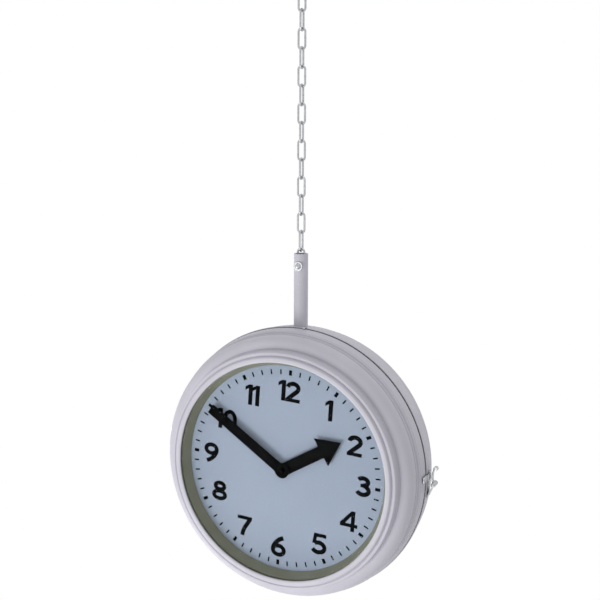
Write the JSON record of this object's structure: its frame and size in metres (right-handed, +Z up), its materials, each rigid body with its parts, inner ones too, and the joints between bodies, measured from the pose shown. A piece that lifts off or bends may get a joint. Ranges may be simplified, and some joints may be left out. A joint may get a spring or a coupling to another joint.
{
  "type": "double sided station clock",
  "caption": "Round station clock with a dial on both sides, in a hinged silver case on a tube, hung from a ceiling plate by a steel chain.",
  "frame": {"origin": "middle of the ceiling plate's top face, where it meets the ceiling", "axes": "+Z up along the chain and the suspension tube, -Y out of the front dial, +X to the right of the front dial, where the catch is"},
  "size_m": [0.3308, 0.1072, 0.7038],
  "materials": {
    "case_paint": "satin",
    "zinc_steel": "bright zinc plate",
    "inner_steel": "plain sheet",
    "glass": "clear",
    "reveal_paint": "satin",
    "dial_print": "matte with printed numerals",
    "black_hands": "satin black",
    "movement_plastic": "moulded",
    "brass": "turned",
    "battery_jacket": "plain"
  },
  "bodies": {
    "ceiling_fitting": {"ceiling_plate": "zinc_steel", "ceiling_eye": "zinc_steel"},
    "chain_link_14_body": {"chain_link_14": "zinc_steel"},
    "chain_link_13_body": {"chain_link_13": "zinc_steel"},
    "chain_link_12_body": {"chain_link_12": "zinc_steel"},
    "chain_link_11_body": {"chain_link_11": "zinc_steel"},
    "chain_link_10_body": {"chain_link_10": "zinc_steel"},
    "chain_link_09_body": {"chain_link_09": "zinc_steel"},
    "chain_link_08_body": {"chain_link_08": "zinc_steel"},
    "chain_link_07_body": {"chain_link_07": "zinc_steel"},
    "chain_link_06_body": {"chain_link_06": "zinc_steel"},
    "chain_link_05_body": {"chain_link_05": "zinc_steel"},
    "chain_link_04_body": {"chain_link_04": "zinc_steel"},
    "chain_link_03_body": {"chain_link_03": "zinc_steel"},
    "chain_link_02_body": {"chain_link_02": "zinc_steel"},
    "chain_link_01_body": {"chain_link_01": "zinc_steel"},
    "chain_link_00_body": {"chain_link_00": "zinc_steel"},
    "clock_body": {"suspension_tube": "case_paint", "cross_bolt": "zinc_steel", "cross_bolt_washer": "zinc_steel", "cross_bolt_nut": "zinc_steel", "tube_bracket": "inner_steel", "tube_nut": "inner_steel", "seam_lug": "zinc_steel", "rear_case": "case_paint", "rear_glass": "glass", "rear_reveal_ring": "reveal_paint", "rear_dial": "dial_print", "rear_back_plate": "inner_steel", "rear_movement": "movement_plastic", "rear_battery": "battery_jacket", "rear_dial_nut": "brass", "hinge_leaf_rear": "zinc_steel", "hinge_pin": "zinc_steel", "latch_bracket": "zinc_steel", "latch_pin": "zinc_steel"},
    "front_door": {"front_case": "case_paint", "front_glass": "glass", "front_reveal_ring": "reveal_paint", "front_dial": "dial_print", "front_back_plate": "inner_steel", "front_movement": "movement_plastic", "front_battery": "battery_jacket", "front_dial_nut": "brass", "hinge_leaf_front": "zinc_steel", "latch_keeper": "zinc_steel"},
    "catch_lever": {"latch_lever": "zinc_steel"},
    "front_minute": {"front_minute_hand": "black_hands", "front_minute_arbor": "brass", "front_cap_nut": "black_hands"},
    "front_hour": {"front_hour_hand": "black_hands", "front_hour_pipe": "brass"},
    "front_knob": {"front_set_knob": "movement_plastic"},
    "rear_minute": {"rear_minute_hand": "black_hands", "rear_minute_arbor": "brass", "rear_cap_nut": "black_hands"},
    "rear_hour": {"rear_hour_hand": "black_hands", "rear_hour_pipe": "brass"},
    "rear_knob": {"rear_set_knob": "movement_plastic"}
  },
  "joints": [
    {"name": "link_14_swing", "type": "hinge", "parent": "ceiling_fitting", "child": "chain_link_14_body", "pos_m": [0, 0, -0.026], "axis": [0, 1, 0], "range_deg": [-10, 10]},
    {"name": "link_13_swing", "type": "hinge", "parent": "chain_link_14_body", "child": "chain_link_13_body", "pos_m": [0, 0, -0.04575], "axis": [1, 0, 0], "range_deg": [-10, 10]},
    {"name": "link_12_swing", "type": "hinge", "parent": "chain_link_13_body", "child": "chain_link_12_body", "pos_m": [0, 0, -0.06585], "axis": [0, 1, 0], "range_deg": [-10, 10]},
    {"name": "link_11_swing", "type": "hinge", "parent": "chain_link_12_body", "child": "chain_link_11_body", "pos_m": [0, 0, -0.08595], "axis": [1, 0, 0], "range_deg": [-10, 10]},
    {"name": "link_10_swing", "type": "hinge", "parent": "chain_link_11_body", "child": "chain_link_10_body", "pos_m": [0, 0, -0.10605], "axis": [0, 1, 0], "range_deg": [-10, 10]},
    {"name": "link_09_swing", "type": "hinge", "parent": "chain_link_10_body", "child": "chain_link_09_body", "pos_m": [0, 0, -0.12615], "axis": [1, 0, 0], "range_deg": [-10, 10]},
    {"name": "link_08_swing", "type": "hinge", "parent": "chain_link_09_body", "child": "chain_link_08_body", "pos_m": [0, 0, -0.14625], "axis": [0, 1, 0], "range_deg": [-10, 10]},
    {"name": "link_07_swing", "type": "hinge", "parent": "chain_link_08_body", "child": "chain_link_07_body", "pos_m": [0, 0, -0.16635], "axis": [1, 0, 0], "range_deg": [-10, 10]},
    {"name": "link_06_swing", "type": "hinge", "parent": "chain_link_07_body", "child": "chain_link_06_body", "pos_m": [0, 0, -0.18645], "axis": [0, 1, 0], "range_deg": [-10, 10]},
    {"name": "link_05_swing", "type": "hinge", "parent": "chain_link_06_body", "child": "chain_link_05_body", "pos_m": [0, 0, -0.20655], "axis": [1, 0, 0], "range_deg": [-10, 10]},
    {"name": "link_04_swing", "type": "hinge", "parent": "chain_link_05_body", "child": "chain_link_04_body", "pos_m": [0, 0, -0.22665], "axis": [0, 1, 0], "range_deg": [-10, 10]},
    {"name": "link_03_swing", "type": "hinge", "parent": "chain_link_04_body", "child": "chain_link_03_body", "pos_m": [0, 0, -0.24675], "axis": [1, 0, 0], "range_deg": [-10, 10]},
    {"name": "link_02_swing", "type": "hinge", "parent": "chain_link_03_body", "child": "chain_link_02_body", "pos_m": [0, 0, -0.26685], "axis": [0, 1, 0], "range_deg": [-10, 10]},
    {"name": "link_01_swing", "type": "hinge", "parent": "chain_link_02_body", "child": "chain_link_01_body", "pos_m": [0, 0, -0.28695], "axis": [1, 0, 0], "range_deg": [-10, 10]},
    {"name": "link_00_swing", "type": "hinge", "parent": "chain_link_01_body", "child": "chain_link_00_body", "pos_m": [0, 0, -0.30705], "axis": [0, 1, 0], "range_deg": [-10, 10]},
    {"name": "clock_swing", "type": "hinge", "parent": "chain_link_00_body", "child": "clock_body", "pos_m": [0, 0, -0.3237], "axis": [0, 1, 0], "range_deg": [-4, 4]},
    {"name": "front_door_hinge", "type": "hinge", "parent": "clock_body", "child": "front_door", "pos_m": [-0.15982, -0.0129, -0.53676], "axis": [-0.0689, 0, -0.9976], "range_deg": [0, 100]},
    {"name": "catch_lever_pivot", "type": "hinge", "parent": "clock_body", "child": "catch_lever", "pos_m": [0.16185, -0.0037, -0.55487], "axis": [0, 1, 0], "range_deg": [0, 70]},
    {"name": "front_minute_turn", "type": "hinge", "parent": "front_door", "child": "front_minute", "pos_m": [0, -0.0502, -0.5478], "axis": [0, 1, 0], "continuous": true},
    {"name": "front_hour_turn", "type": "hinge", "parent": "front_door", "child": "front_hour", "pos_m": [0, -0.0502, -0.5478], "axis": [0, 1, 0], "continuous": true},
    {"name": "front_knob_turn", "type": "hinge", "parent": "front_door", "child": "front_knob", "pos_m": [0, -0.0502, -0.5478], "axis": [0, 1, 0], "continuous": true},
    {"name": "rear_minute_turn", "type": "hinge", "parent": "clock_body", "child": "rear_minute", "pos_m": [0, 0.0358, -0.5478], "axis": [0, -1, 0], "continuous": true},
    {"name": "rear_hour_turn", "type": "hinge", "parent": "clock_body", "child": "rear_hour", "pos_m": [0, 0.0358, -0.5478], "axis": [0, -1, 0], "continuous": true},
    {"name": "rear_knob_turn", "type": "hinge", "parent": "clock_body", "child": "rear_knob", "pos_m": [0, 0.0358, -0.5478], "axis": [0, -1, 0], "continuous": true}
  ],
  "couplings": [
    {"joint": "front_hour_turn", "follows": "front_minute_turn", "ratio": 0.083333},
    {"joint": "front_knob_turn", "follows": "front_minute_turn", "ratio": 1},
    {"joint": "rear_hour_turn", "follows": "rear_minute_turn", "ratio": 0.083333},
    {"joint": "rear_knob_turn", "follows": "rear_minute_turn", "ratio": 1}
  ]
}
